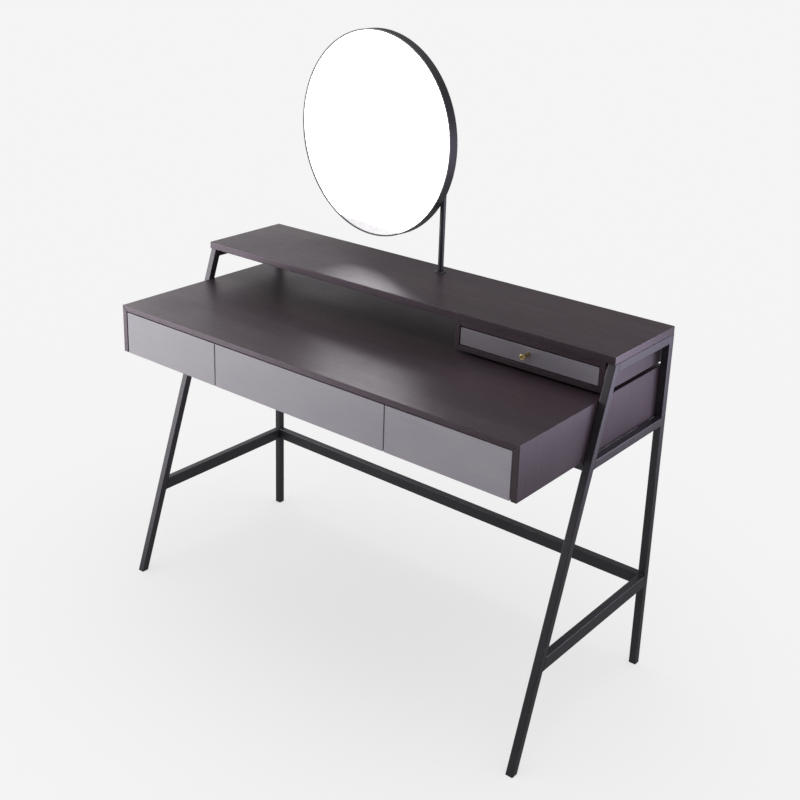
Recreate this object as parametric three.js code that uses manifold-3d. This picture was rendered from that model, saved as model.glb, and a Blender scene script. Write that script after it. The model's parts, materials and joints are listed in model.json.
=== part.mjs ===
// Vanity table with three wide drawers, a raised shelf with a small drawer under it,
// and a round mirror that stands off-centre on one post.
// Millimetres. +X is to the right, -Y is the front, +Z is up.
// The origin is on the floor, under the middle of the overall box.
import * as THREE from 'three';
import { mergeVertices } from 'three/addons/utils/BufferGeometryUtils.js';
import Module from 'manifold-3d';

const wasm = await Module();
wasm.setup();

// ---- Driving dimensions ----

const fit_gap = 0.3;            // between pieces that touch or are welded

// Overall places along Y, from the desk's front edge to the rear legs
const desk_front_y = -284;
const rear_leg_back_y = desk_front_y + 568;

// Steel frame
const overall_width = 1200;
const tube_width = 18;
const tube_wall = 1.5;
const tube_corner = 2;
const rail_height = 20;
const stretcher_height = 30;
const frame_top_z = 837.7;
const mid_rail_top_z = 642.7;
const stretcher_top_z = 241;
const foot_front_y = desk_front_y + 27;
const foot_lean = 286 / 838;    // how far the front leg leans back for each millimetre of height
const rear_cross_rail_y = desk_front_y + 512.5;

// Foot glides
const glide_height = 3;
const glide_plug_height = 12;

// Shelf
const shelf_top_z = 856;
const shelf_thickness = 18;
const shelf_front_y = desk_front_y + 309;
const shelf_depth = 257;

// Drawer case. Its top and sides are mitred together.
const case_width = 1163.4;
const case_depth = 566;
const case_bottom_z = 641;
const desk_top_z = 762;
const board = 14;
const back_board = 9;
const divider_x = 253;

// Wide drawers
const front_thickness = 16;
const front_gap = 3;            // between two fronts
const front_edge_gap = 3;       // between a front and the side panel beside it
const front_top_gap = 2;
const drawer_length = 450;
const drawer_side_height = 75;
const drawer_lift = 8;          // drawer's underside above the case's bottom board
const drawer_wall = 12;
const drawer_bottom = 6;
const runner_room = 13.2;       // between a drawer's side and the case, on each side
const runner_depth = 10;
const runner_height = 35;
const runner_length = 400;
const runner_gauge = 1.5;
const runner_mid_z = 700;

// Small drawer and the box that it slides in
const box_left_x = 199;
const box_right_x = 577;
const box_front_y = desk_front_y + 311;
const box_depth = 252;
const box_bottom_z = 768;
const box_board = 12;
const box_back_board = 6;
const box_reveal = 2;           // gap beside and below the small drawer's front
const box_top_gap = 3;
const box_front_inset = 1;
const small_front_thickness = 12;
const tray_length = 213;
const tray_height = 35;
const tray_wall = 6;
const tray_floor = 5;
const tray_clearance = 0.5;     // between the tray and the box's boards

// Knob
const knob_x = 392.5;
const knob_z = 806;
const knob_length = 25;
const knob_neck_radius = 4.8;
const knob_neck_length = 9;
const knob_disc_radius = 6.5;
const knob_disc_thickness = 4;
const knob_edge = 1;
const knob_segments = 28;
const knob_flare_steps = 4;

// Mirror
const post_x = -4.5;
const post_y = desk_front_y + 522;
const post_radius = 7;
const stud_radius = 4;
const stud_hole_radius = 4.6;
const stud_end_z = 826;
const flange_radius = 14;
const flange_thickness = 3;
const flange_edge = 1;
const nut_across_flats = 13;
const nut_height = 6.5;
const mirror_yaw_deg = -4.7;    // the mirror stands turned a little about its post
const mirror_offset = 213.1;    // sideways from the post's axis to the mirror's centre
const mirror_centre_z = 1168;
const post_top_z = mirror_centre_z - 104;
const post_edge = 1;
const rim_radius = 256;
const rim_wall = 2.7;
const rim_depth = 25;
const rim_lip = 8;
const rim_lip_thickness = 1.5;
const glass_thickness = 4;
const glass_set_back = 1.2;
const rim_segments = 96;
const flange_segments = 40;
const post_segments = 32;

// ---- Derived places ----

const half_width = overall_width / 2;
const side_x = half_width - tube_width / 2;
const foot_depth = tube_width * Math.hypot(1, foot_lean);
const rear_leg_front_y = rear_leg_back_y - tube_width;
const leg_foot_z = glide_height + fit_gap;
const case_back_y = desk_front_y + case_depth;
const case_outer_x = case_width / 2;
const cross_rail_top_z = case_bottom_z - fit_gap;
const mitre_shift = fit_gap * Math.SQRT1_2;
const front_back_y = desk_front_y + front_thickness;
const inside_x = case_outer_x - board;
const floor_z = case_bottom_z + board;
const ceiling_z = desk_top_z - board;
const box_back_y = box_front_y + box_depth;
const shelf_bottom_z = shelf_top_z - shelf_thickness;
const post_foot_z = shelf_top_z + flange_thickness + 2 * fit_gap;

const frontLegY = (z) => foot_front_y + foot_lean * z;

// ---- Materials ----

const finish = (color, roughness, metalness) => () =>
  new THREE.MeshStandardMaterial({ color, roughness, metalness });
const black_steel = finish(0x252427, 0.5, 0.6);
const dark_veneer = finish(0x3a3033, 0.45, 0);
const grey_lacquer = finish(0x8f898f, 0.4, 0);
const drawer_board = finish(0x6f6a68, 0.6, 0);
const bright_steel = finish(0xb4b6b8, 0.35, 0.9);
const polished_brass = finish(0xc9a24a, 0.25, 1);
const silvered_glass = finish(0xe8ecee, 0.03, 1);
const black_plastic = finish(0x18181a, 0.7, 0);

// ---- Shape helpers ----

const piece = (name, geometry, material) => {
  const mesh = new THREE.Mesh(geometry, material());
  mesh.name = name;
  return mesh;
};

const groupOf = (...children) => new THREE.Group().add(...children);

// A flat board, given by its lowest and highest corners.
const slab = ([x0, y0, z0], [x1, y1, z1]) =>
  new THREE.BoxGeometry(x1 - x0, y1 - y0, z1 - z0)
    .translate((x0 + x1) / 2, (y0 + y1) / 2, (z0 + z1) / 2);

// A solid with this outline of [x, z] points, from low_y to high_y.
const prism = (corners, low_y, high_y) => {
  const section = new THREE.Shape(corners.map(([x, z]) => new THREE.Vector2(x, z)));
  return new THREE.ExtrudeGeometry(section, { depth: high_y - low_y, bevelEnabled: false })
    .rotateX(Math.PI / 2)
    .translate(0, high_y, 0);
};

const roundedRectangle = (path, width, height, radius) => {
  const x = width / 2 - radius;
  const y = height / 2 - radius;
  path.absarc(x, -y, radius, -Math.PI / 2, 0);
  path.absarc(x, y, radius, 0, Math.PI / 2);
  path.absarc(-x, y, radius, Math.PI / 2, Math.PI);
  path.absarc(-x, -y, radius, Math.PI, Math.PI * 1.5);
  return path;
};

const bar = (width, depth, length, radius) => {
  const section = roundedRectangle(new THREE.Shape(), width, depth, radius);
  return new THREE.ExtrudeGeometry(section, { depth: length, bevelEnabled: false, curveSegments: 3 });
};

// Hollow rectangular tube that stands on z = 0.
const tube = (width, depth, length) => {
  const section = roundedRectangle(new THREE.Shape(), width, depth, tube_corner);
  const bore_width = width - 2 * tube_wall;
  const bore_depth = depth - 2 * tube_wall;
  section.holes.push(roundedRectangle(new THREE.Path(), bore_width, bore_depth, tube_corner - tube_wall));
  return new THREE.ExtrudeGeometry(section, { depth: length, bevelEnabled: false, curveSegments: 3 });
};

// Leans an upright shape back with height, as the front legs lean.
const leanBack = (geometry) => {
  const lean = new THREE.Matrix4().set(1, 0, 0, 0, 0, 1, foot_lean, 0, 0, 0, 1, 0, 0, 0, 0, 1);
  return geometry.applyMatrix4(lean);
};

// A profile of [radius, height] points turned about the Z axis.
const turned = (points, segments) => {
  const profile = points.map(([radius, height]) => new THREE.Vector2(radius, height));
  return new THREE.LatheGeometry(profile, segments).rotateX(Math.PI / 2);
};

const toSolid = (geometry) => {
  const bare = geometry.clone();
  bare.deleteAttribute('normal');
  bare.deleteAttribute('uv');
  const merged = mergeVertices(bare);
  const vertProperties = new Float32Array(merged.attributes.position.array);
  const triVerts = new Uint32Array(merged.index.array);
  return new wasm.Manifold(new wasm.Mesh({ numProp: 3, vertProperties, triVerts }));
};

const toGeometry = (solid) => {
  const { vertProperties, triVerts } = solid.getMesh();
  const geometry = new THREE.BufferGeometry();
  geometry.setAttribute('position', new THREE.BufferAttribute(vertProperties, 3));
  geometry.setIndex(new THREE.BufferAttribute(triVerts, 1));
  return geometry;
};

// ---- Steel frame ----

// A rail between the slanted front leg and the upright rear leg, cut to fit both.
const sideRail = (height, top_z) => {
  const geometry = tube(tube_width, height, 1).rotateX(-Math.PI / 2);
  geometry.translate(0, 0, top_z - height / 2);
  const { position } = geometry.attributes;
  for (let i = 0; i < position.count; i += 1) {
    const front_y = frontLegY(position.getZ(i)) + foot_depth + fit_gap;
    const back_y = rear_leg_front_y - fit_gap;
    position.setY(i, THREE.MathUtils.lerp(front_y, back_y, position.getY(i)));
  }
  return geometry;
};

const crossRail = (height, top_z, front_y) => {
  const length = 2 * (half_width - tube_width - fit_gap);
  return tube(height, tube_width, length).rotateY(Math.PI / 2)
    .translate(-length / 2, front_y + tube_width / 2, top_z - height / 2);
};

// Flat pad with a plug that stands up inside the end of the tube.
const footGlide = (depth) => {
  const plug_room = 2 * (tube_wall + fit_gap);
  const pad = bar(tube_width, depth, glide_height, tube_corner);
  const plug = bar(tube_width - plug_room, depth - plug_room, glide_plug_height, fit_gap);
  plug.translate(0, 0, glide_height / 2);
  return toGeometry(toSolid(pad).add(toSolid(plug)));
};

const sideFrame = (side, sign) => {
  const leg_length = frame_top_z - leg_foot_z;
  const front_leg = leanBack(tube(tube_width, foot_depth, leg_length).translate(0, 0, leg_foot_z));
  const rear_leg = tube(tube_width, tube_width, leg_length).translate(0, 0, leg_foot_z);
  const front_y = foot_front_y + foot_depth / 2;
  const rear_y = rear_leg_back_y - tube_width / 2;
  const frame = groupOf(
    piece(`${side}_front_leg`, front_leg.translate(0, front_y, 0), black_steel),
    piece(`${side}_rear_leg`, rear_leg.translate(0, rear_y, 0), black_steel),
    piece(`${side}_top_rail`, sideRail(rail_height, frame_top_z), black_steel),
    piece(`${side}_mid_rail`, sideRail(rail_height, mid_rail_top_z), black_steel),
    piece(`${side}_lower_stretcher`, sideRail(stretcher_height, stretcher_top_z), black_steel),
    piece(`${side}_front_glide`, leanBack(footGlide(foot_depth)).translate(0, front_y, 0), black_plastic),
    piece(`${side}_rear_glide`, footGlide(tube_width).translate(0, rear_y, 0), black_plastic),
  );
  frame.position.x = sign * side_x;
  return frame;
};

const frame = () => {
  const front_cross_y = frontLegY(cross_rail_top_z - rail_height / 2);
  return groupOf(
    sideFrame('left', -1),
    sideFrame('right', 1),
    piece('front_cross_rail', crossRail(rail_height, cross_rail_top_z, front_cross_y), black_steel),
    piece('rear_cross_rail', crossRail(rail_height, cross_rail_top_z, rear_cross_rail_y), black_steel),
    piece('rear_lower_stretcher', crossRail(stretcher_height, stretcher_top_z, rear_leg_front_y), black_steel),
  );
};

// ---- Shelf ----

const shelf = () => {
  const outline = new THREE.Shape();
  outline.moveTo(-half_width, shelf_front_y);
  outline.lineTo(half_width, shelf_front_y);
  outline.lineTo(half_width, shelf_front_y + shelf_depth);
  outline.lineTo(-half_width, shelf_front_y + shelf_depth);
  const stud_hole = new THREE.Path().absarc(post_x, post_y, stud_hole_radius, 0, 2 * Math.PI);
  outline.holes.push(stud_hole);
  const settings = { depth: shelf_thickness, bevelEnabled: false, curveSegments: 24 };
  const geometry = new THREE.ExtrudeGeometry(outline, settings).translate(0, 0, shelf_bottom_z);
  return piece('shelf', geometry, dark_veneer);
};

// ---- Drawer case ----

const drawerCase = () => {
  const between_x = inside_x - fit_gap;
  const under_top_z = ceiling_z - fit_gap;
  const back_front_y = case_back_y - back_board;
  const boards_front_y = front_back_y + fit_gap;
  const boards_back_y = back_front_y - fit_gap;
  const top = prism([
    [mitre_shift - case_outer_x, desk_top_z],
    [mitre_shift - inside_x, ceiling_z],
    [inside_x - mitre_shift, ceiling_z],
    [case_outer_x - mitre_shift, desk_top_z],
  ], desk_front_y, case_back_y);
  const bottom = slab([-between_x, boards_front_y, case_bottom_z], [between_x, boards_back_y, floor_z]);
  const back = slab([-between_x, back_front_y, case_bottom_z], [between_x, case_back_y, under_top_z]);
  const group = groupOf(
    piece('desk_top', top, dark_veneer),
    piece('case_bottom', bottom, dark_veneer),
    piece('case_back', back, dark_veneer),
  );
  for (const [side, sign] of [['left', -1], ['right', 1]]) {
    const panel = prism([
      [sign * inside_x, case_bottom_z],
      [sign * case_outer_x, case_bottom_z],
      [sign * case_outer_x, desk_top_z - mitre_shift],
      [sign * inside_x, ceiling_z - mitre_shift],
    ], desk_front_y, case_back_y);
    const middle_x = sign * divider_x;
    const divider = slab(
      [middle_x - board / 2, boards_front_y, floor_z + fit_gap],
      [middle_x + board / 2, boards_back_y, under_top_z]);
    group.add(piece(`case_${side}_side`, panel, dark_veneer));
    group.add(piece(`case_${side}_divider`, divider, dark_veneer));
  }
  return group;
};

// Channel fixed to a wall at wall_x, open towards the drawer on the side that sign points to.
const runner = (wall_x, sign) => {
  const half_height = runner_height / 2;
  const lip = half_height - runner_gauge;
  const corners = [
    [0, -half_height], [runner_depth, -half_height], [runner_depth, -lip], [runner_gauge, -lip],
    [runner_gauge, lip], [runner_depth, lip], [runner_depth, half_height], [0, half_height],
  ];
  const start_y = front_back_y + fit_gap;
  const outline = corners.map(([x, z]) => [wall_x + sign * (fit_gap + x), runner_mid_z + z]);
  return prism(outline, start_y, start_y + runner_length);
};

const runners = (name, low_x, high_x) => groupOf(
  piece(`${name}_left_runner`, runner(low_x, 1), bright_steel),
  piece(`${name}_right_runner`, runner(high_x, -1), bright_steel),
);

// A drawer in the bay from low_x to high_x, behind a front from front_low_x to front_high_x.
const wideDrawer = (name, [low_x, high_x], [front_low_x, front_high_x]) => {
  const left_x = low_x + runner_room;
  const right_x = high_x - runner_room;
  const side_bottom_z = floor_z + drawer_lift;
  const side_top_z = side_bottom_z + drawer_side_height;
  const box_start_y = front_back_y + fit_gap;
  const box_end_y = box_start_y + drawer_length;
  const within = [left_x + drawer_wall + fit_gap, right_x - drawer_wall - fit_gap];
  const bottom_z = side_bottom_z + drawer_bottom;
  const front = slab(
    [front_low_x, desk_front_y, case_bottom_z],
    [front_high_x, front_back_y, ceiling_z - front_top_gap]);
  const left_side = slab([left_x, box_start_y, side_bottom_z], [left_x + drawer_wall, box_end_y, side_top_z]);
  const right_side = slab([right_x - drawer_wall, box_start_y, side_bottom_z], [right_x, box_end_y, side_top_z]);
  const back = slab([within[0], box_end_y - drawer_wall, side_bottom_z], [within[1], box_end_y, side_top_z]);
  const bottom = slab(
    [within[0], box_start_y, bottom_z],
    [within[1], box_end_y - drawer_wall - fit_gap, bottom_z + drawer_bottom]);
  return groupOf(
    piece(`${name}_front`, front, grey_lacquer),
    piece(`${name}_left_side`, left_side, drawer_board),
    piece(`${name}_right_side`, right_side, drawer_board),
    piece(`${name}_back`, back, drawer_board),
    piece(`${name}_bottom`, bottom, drawer_board),
  );
};

const wideDrawers = () => {
  const divider_face_x = divider_x - board / 2;
  const outer_divider_face_x = divider_x + board / 2;
  const edge_x = inside_x - front_edge_gap;
  const joint_x = front_gap / 2;
  const bays = [
    ['left_drawer', [-inside_x, -outer_divider_face_x], [-edge_x, -divider_x - joint_x]],
    ['middle_drawer', [-divider_face_x, divider_face_x], [joint_x - divider_x, divider_x - joint_x]],
    ['right_drawer', [outer_divider_face_x, inside_x], [divider_x + joint_x, edge_x]],
  ];
  const made = bays.map(([name, bay, front]) => groupOf(runners(name, ...bay), wideDrawer(name, bay, front)));
  return groupOf(...made);
};

// ---- Small drawer and its box ----

const smallBox = () => {
  const low_x = box_left_x + box_board + fit_gap;
  const high_x = box_right_x - box_board - fit_gap;
  const deck_z = box_bottom_z + box_board;
  const lid_z = frame_top_z - box_board;
  const side = (x) => slab([x, box_front_y, box_bottom_z], [x + box_board, box_back_y, frame_top_z]);
  const lid = slab([low_x, box_front_y, lid_z], [high_x, box_back_y, frame_top_z]);
  const deck = slab([low_x, box_front_y, box_bottom_z], [high_x, box_back_y, deck_z]);
  const back = slab(
    [low_x, box_back_y - box_back_board, deck_z + fit_gap],
    [high_x, box_back_y, lid_z - fit_gap]);
  return groupOf(
    piece('small_box_left_side', side(box_left_x), dark_veneer),
    piece('small_box_right_side', side(box_right_x - box_board), dark_veneer),
    piece('small_box_top', lid, dark_veneer),
    piece('small_box_bottom', deck, dark_veneer),
    piece('small_box_back', back, dark_veneer),
  );
};

// Straight neck that flares out to a disc, turned about its own axis and pointing to the front.
const knob = () => {
  const flare_length = knob_length - knob_disc_thickness - knob_neck_length;
  const flare = Array.from({ length: knob_flare_steps + 1 }, (_, i) => {
    const along = i / knob_flare_steps;
    const radius = THREE.MathUtils.lerp(knob_neck_radius, knob_disc_radius, along * along);
    return [radius, knob_neck_length + flare_length * along];
  });
  const profile = [
    [0, 0],
    [knob_neck_radius, 0],
    ...flare,
    [knob_disc_radius, knob_length - knob_edge],
    [knob_disc_radius - knob_edge, knob_length],
    [0, knob_length],
  ];
  return turned(profile, knob_segments).rotateX(Math.PI / 2);
};

const smallDrawer = () => {
  const bay_low_x = box_left_x + box_board;
  const bay_high_x = box_right_x - box_board;
  const deck_z = box_bottom_z + box_board;
  const bottom_z = deck_z + box_reveal;
  const top_z = frame_top_z - box_board - box_top_gap;
  const face_y = box_front_y + box_front_inset;
  const tray_start_y = face_y + small_front_thickness + fit_gap;
  const front = slab(
    [bay_low_x + box_reveal, face_y, bottom_z],
    [bay_high_x - box_reveal, face_y + small_front_thickness, top_z]);
  const tray_start = [bay_low_x + tray_clearance, tray_start_y, deck_z + tray_clearance];
  const tray_end = [bay_high_x - tray_clearance, tray_start_y + tray_length, tray_start[2] + tray_height];
  const hollow_start = [tray_start[0] + tray_wall, tray_start[1] + tray_wall, tray_start[2] + tray_floor];
  const hollow_end = [tray_end[0] - tray_wall, tray_end[1] - tray_wall, tray_end[2] + tray_floor];
  const tray = toSolid(slab(tray_start, tray_end)).subtract(toSolid(slab(hollow_start, hollow_end)));
  const knob_mesh = piece('small_drawer_knob', knob(), polished_brass);
  knob_mesh.position.set(knob_x, face_y - fit_gap, knob_z);
  return groupOf(
    piece('small_drawer_front', front, grey_lacquer),
    piece('small_drawer_tray', toGeometry(tray), drawer_board),
    knob_mesh,
  );
};

// ---- Mirror on its post ----

const flange = () => {
  const profile = [
    [stud_hole_radius, 0],
    [flange_radius, 0],
    [flange_radius, flange_thickness - flange_edge],
    [flange_radius - flange_edge, flange_thickness],
    [stud_hole_radius, flange_thickness],
    [stud_hole_radius, 0],
  ];
  const mesh = piece('mirror_flange', turned(profile, flange_segments), black_steel);
  mesh.position.set(post_x, post_y, shelf_top_z + fit_gap);
  return mesh;
};

// Round post with a stud below it; its upper end stands against the back of the rim, and is welded there.
const post = () => turned([
  [0, stud_end_z],
  [stud_radius, stud_end_z],
  [stud_radius, post_foot_z],
  [post_radius, post_foot_z],
  [post_radius, post_top_z - post_edge],
  [post_radius - post_edge, post_top_z],
  [0, post_top_z],
], post_segments);

const studNut = () => {
  const corner_radius = nut_across_flats / Math.sqrt(3);
  const corners = Array.from({ length: 6 }, (_, i) => {
    const angle = i * Math.PI / 3;
    return new THREE.Vector2(corner_radius * Math.cos(angle), corner_radius * Math.sin(angle));
  });
  const section = new THREE.Shape(corners);
  section.holes.push(new THREE.Path().absarc(0, 0, stud_radius + fit_gap, 0, 2 * Math.PI));
  return new THREE.ExtrudeGeometry(section, { depth: nut_height, bevelEnabled: false, curveSegments: 16 })
    .translate(0, 0, shelf_bottom_z - fit_gap - nut_height);
};

// Rim band with a lip behind; the glass faces -Y before the mirror is turned on its post.
const rim = () => {
  const half_depth = rim_depth / 2;
  const bore = rim_radius - rim_wall;
  const profile = [
    [bore, -half_depth],
    [rim_radius, -half_depth],
    [rim_radius, half_depth],
    [bore - rim_lip, half_depth],
    [bore - rim_lip, half_depth - rim_lip_thickness],
    [bore, half_depth - rim_lip_thickness],
    [bore, -half_depth],
  ];
  return new THREE.LatheGeometry(profile.map(([radius, y]) => new THREE.Vector2(radius, y)), rim_segments);
};

// A disc that fits inside the rim, from front_y back to back_y.
const rimDisc = (front_y, back_y) => {
  const radius = (rim_radius - rim_wall) * Math.cos(Math.PI / rim_segments) - fit_gap;
  return new THREE.CylinderGeometry(radius, radius, back_y - front_y, rim_segments)
    .translate(0, (front_y + back_y) / 2, 0);
};

const mirror = () => {
  const glass_front_y = glass_set_back - rim_depth / 2;
  const glass_back_y = glass_front_y + glass_thickness;
  const core_back_y = rim_depth / 2 - rim_lip_thickness - fit_gap;
  const head = groupOf(
    piece('mirror_rim', rim(), black_steel),
    piece('mirror_glass', rimDisc(glass_front_y, glass_back_y), silvered_glass),
    piece('mirror_core', rimDisc(glass_back_y + fit_gap, core_back_y), black_plastic),
  );
  head.position.set(-mirror_offset, -(rim_depth / 2 + fit_gap + post_radius), mirror_centre_z);
  const swivel = groupOf(
    piece('mirror_post', post(), black_steel),
    piece('mirror_nut', studNut(), bright_steel),
    head,
  );
  swivel.position.set(post_x, post_y, 0);
  swivel.rotation.z = THREE.MathUtils.degToRad(mirror_yaw_deg);
  return swivel;
};

// ---- Assembly ----

const vanity = groupOf(
  frame(),
  shelf(),
  drawerCase(),
  wideDrawers(),
  smallBox(),
  smallDrawer(),
  flange(),
  mirror(),
);

export default vanity;
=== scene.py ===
import json
import math
import random

import bmesh
import bpy
from mathutils import Matrix, Vector


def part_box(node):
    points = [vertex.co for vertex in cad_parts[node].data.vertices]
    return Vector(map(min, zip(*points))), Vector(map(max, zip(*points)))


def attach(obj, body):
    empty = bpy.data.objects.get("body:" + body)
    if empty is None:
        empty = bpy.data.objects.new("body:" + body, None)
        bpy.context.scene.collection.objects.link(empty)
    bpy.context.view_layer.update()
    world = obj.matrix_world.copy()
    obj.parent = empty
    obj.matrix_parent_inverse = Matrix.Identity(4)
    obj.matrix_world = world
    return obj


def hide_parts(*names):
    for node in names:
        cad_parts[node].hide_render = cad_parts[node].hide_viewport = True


# The vanity table's looks: fine meshes, materials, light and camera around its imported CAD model.
# Metres, +Z up, -Y is the front. Every piece stands at the CAD model's own place, and its
# vertices are in the model's frame.

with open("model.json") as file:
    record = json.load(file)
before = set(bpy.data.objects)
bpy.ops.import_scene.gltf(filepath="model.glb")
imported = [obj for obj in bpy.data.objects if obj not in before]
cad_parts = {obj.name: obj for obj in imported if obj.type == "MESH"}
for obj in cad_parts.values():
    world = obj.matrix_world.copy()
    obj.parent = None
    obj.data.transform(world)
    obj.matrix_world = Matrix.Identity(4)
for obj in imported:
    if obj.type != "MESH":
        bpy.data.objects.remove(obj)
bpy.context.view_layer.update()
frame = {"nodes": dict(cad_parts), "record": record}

RECORD = frame["record"]
SLOT_OF = {part["node"]: part["material_slot"] for part in RECORD["subparts"]}
BODY_OF = {node: body for body, nodes in RECORD["behaviour"]["bodies"].items() for node in nodes}
WIDE_DRAWERS = ("left_drawer", "middle_drawer", "right_drawer")
SIDES = (("left", 1), ("right", -1))     # a wall's name, and which way along X it faces into its bay
FIT_GAP = 0.0003                # the CAD model's gap between pieces that touch or are welded

# Mesh clean-up
ON_AXIS = 1e-7                  # a smaller radius counts as a point on a turned piece's axis
SAME_POINT = 2e-6               # vertices nearer than this are one
FLAT_ANGLE = 0.4                # faces that meet at fewer degrees than this are one flat face

# Roundings and other detail that the CAD model leaves plain
TOP_EDGE = 0.0011
BOARD_EDGE = 0.0006
FRONT_EDGE = 0.0009
DRAWER_EDGE = 0.0012
SMALL_EDGE = 0.0004
NUT_EDGE = 0.0005
WORN_BORDER = 0.005
BORDER_WEAR = 0.55              # against 1 on the rounding itself

# Camera
CAMERA_PLACE = Vector((1.6722, -2.0379, 1.7380))
CAMERA_AZIMUTH = 40.188
CAMERA_ELEVATION = 18.572
CAMERA_ROLL = 1.239
CAMERA_LENS = 54.26
CAMERA_SENSOR = 36
CAMERA_SHIFT = (0.0459, -0.1305)


# ---- Mesh helpers ----

def rounded(points, radius, steps=4, closed=True):
    """The same outline with each corner turned into a small arc."""
    made = []
    count = len(points)
    for i, point in enumerate(points):
        here = Vector(point)
        if not closed and i in (0, count - 1):
            made.append(here)
            continue
        before = Vector(points[i - 1]) - here
        after = Vector(points[(i + 1) % count]) - here
        reach = min(radius, before.length / 2, after.length / 2)
        start = here + before.normalized() * reach
        end = here + after.normalized() * reach
        for step in range(steps + 1):
            t = step / steps
            made.append(start * (1 - t) ** 2 + here * 2 * t * (1 - t) + end * t ** 2)
    return made


def grain_layer(bm):
    return bm.loops.layers.uv.get("Grain") or bm.loops.layers.uv.new("Grain")


def wear_layer(bm):
    return bm.loops.layers.float.get("edge_wear") or bm.loops.layers.float.new("edge_wear")


def lathe(profile, segments, closed=False):
    """A solid turned about Z from points of radius and height.

    Its UVs are metres round and along the profile.
    """
    bm = bmesh.new()
    uv = grain_layer(bm)
    wear_layer(bm)
    points = list(profile) + ([profile[0]] if closed else [])
    widest = max(radius for radius, height in points)
    rings = []
    for radius, height in points:
        spots = 1 if radius < ON_AXIS else segments
        turns = [2 * math.pi * i / segments for i in range(spots)]
        rings.append([bm.verts.new((radius * math.cos(a), radius * math.sin(a), height)) for a in turns])
    if closed:
        for vert in rings.pop():
            bm.verts.remove(vert)
        rings.append(rings[0])
    along = 0
    for (ring, above), (start, end) in zip(zip(rings, rings[1:]), zip(points, points[1:])):
        step = (Vector(end) - Vector(start)).length
        for i in range(segments):
            j = (i + 1) % segments
            corners = [(ring, i, i, along), (ring, j, i + 1, along), (above, j, i + 1, along + step),
                       (above, i, i, along + step)]
            verts, places = [], []
            for row, index, turn, height in corners:
                vert = row[index % len(row)]
                if vert not in verts:
                    verts.append(vert)
                    places.append((2 * math.pi * widest * turn / segments, height))
            if len(verts) > 2:
                face = bm.faces.new(verts)
                for loop, place in zip(face.loops, places):
                    loop[uv].uv = place
        along += step
    return bm


def extruded(outline, low_y, high_y):
    """A solid with this outline of X and Z points, from low_y to high_y."""
    bm = bmesh.new()
    wear_layer(bm)
    front = [bm.verts.new((x, low_y, z)) for x, z in outline]
    back = [bm.verts.new((x, high_y, z)) for x, z in outline]
    for i in range(len(outline)):
        j = (i + 1) % len(outline)
        bm.faces.new((front[i], front[j], back[j], back[i]))
    bm.faces.new(front)
    bm.faces.new(list(reversed(back)))
    return bm


def swept(path, radius_at, closed=False, sides=10):
    """A round bead along a path; radius_at takes the share of the path from 0 to 1."""
    bm = bmesh.new()
    wear_layer(bm)
    count = len(path)
    rings = []
    for i, point in enumerate(path):
        before = path[i - 1] if closed or i else path[0]
        after = path[(i + 1) % count] if closed or i < count - 1 else path[-1]
        along = (after - before).normalized()
        side = along.orthogonal() if not rings else (side - along * side.dot(along))
        side = side.normalized()
        other = along.cross(side)
        radius = radius_at(i / (count - (0 if closed else 1)))
        turns = [2 * math.pi * k / sides for k in range(sides)]
        spokes = [side * math.cos(a) + other * math.sin(a) for a in turns]
        rings.append([bm.verts.new(point + spoke * radius) for spoke in spokes])
    for i in range(count if closed else count - 1):
        ring, above = rings[i], rings[(i + 1) % count]
        for k in range(sides):
            m = (k + 1) % sides
            bm.faces.new((ring[k], ring[m], above[m], above[k]))
    if not closed:
        bm.faces.new(list(reversed(rings[0])))
        bm.faces.new(rings[-1])
    return bm


def slab(low, high):
    bm = bmesh.new()
    bmesh.ops.create_cube(bm, size=1)
    place = Matrix.Translation((low + high) / 2) @ Matrix.Diagonal((*(high - low), 1))
    bmesh.ops.transform(bm, matrix=place, verts=bm.verts)
    return bm


def rounded_board(bm, thickness, radius, segments=3):
    """The board with rounded edges. edge_wear is 1 on the rounding and fades out just inside it."""
    made = bmesh.ops.bevel(bm, geom=bm.edges[:], offset=radius, segments=segments, profile=0.5,
                           affect="EDGES")
    round_faces = set(made["faces"])
    flat_faces = [face for face in bm.faces if face not in round_faces]
    border = min(WORN_BORDER, thickness / 4)
    rim = set(bmesh.ops.inset_individual(bm, faces=flat_faces, thickness=border)["faces"])
    inner = {vert for face in flat_faces for vert in face.verts}
    wear = wear_layer(bm)
    for face in bm.faces:
        for loop in face.loops:
            at_edge = face not in flat_faces and loop.vert not in inner
            loop[wear] = (BORDER_WEAR if face in rim else 1.0) if at_edge else 0.0
    return bm


def map_grain(bm, along, seed):
    """UVs in metres with U along the grain axis.

    A face square to the grain gets its grain along its longer side.
    """
    uv = grain_layer(bm)
    shift = random.Random(seed)
    offsets = [Vector((shift.uniform(0, 6), shift.uniform(0, 6))) for _ in range(3)]
    spans = [max(v.co[i] for v in bm.verts) - min(v.co[i] for v in bm.verts) for i in range(3)]
    for face in bm.faces:
        facing = max(range(3), key=lambda i: abs(face.normal[i]))
        others = [i for i in range(3) if i != facing]
        u_axis = along if along != facing else max(others, key=lambda i: spans[i])
        v_axis = next(i for i in others if i != u_axis)
        for loop in face.loops:
            place = Vector((loop.vert.co[u_axis], loop.vert.co[v_axis]))
            loop[uv].uv = place + offsets[facing]


def cad_solid(node):
    """The CAD node's own solid, with its triangles joined into flat faces."""
    bm = bmesh.new()
    bm.from_mesh(frame["nodes"][node].data)
    for layer in list(bm.loops.layers.uv):
        bm.loops.layers.uv.remove(layer)
    bmesh.ops.remove_doubles(bm, verts=bm.verts, dist=SAME_POINT)
    bmesh.ops.dissolve_limit(bm, angle_limit=math.radians(FLAT_ANGLE), verts=bm.verts, edges=bm.edges)
    wear_layer(bm)
    return bm


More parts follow.
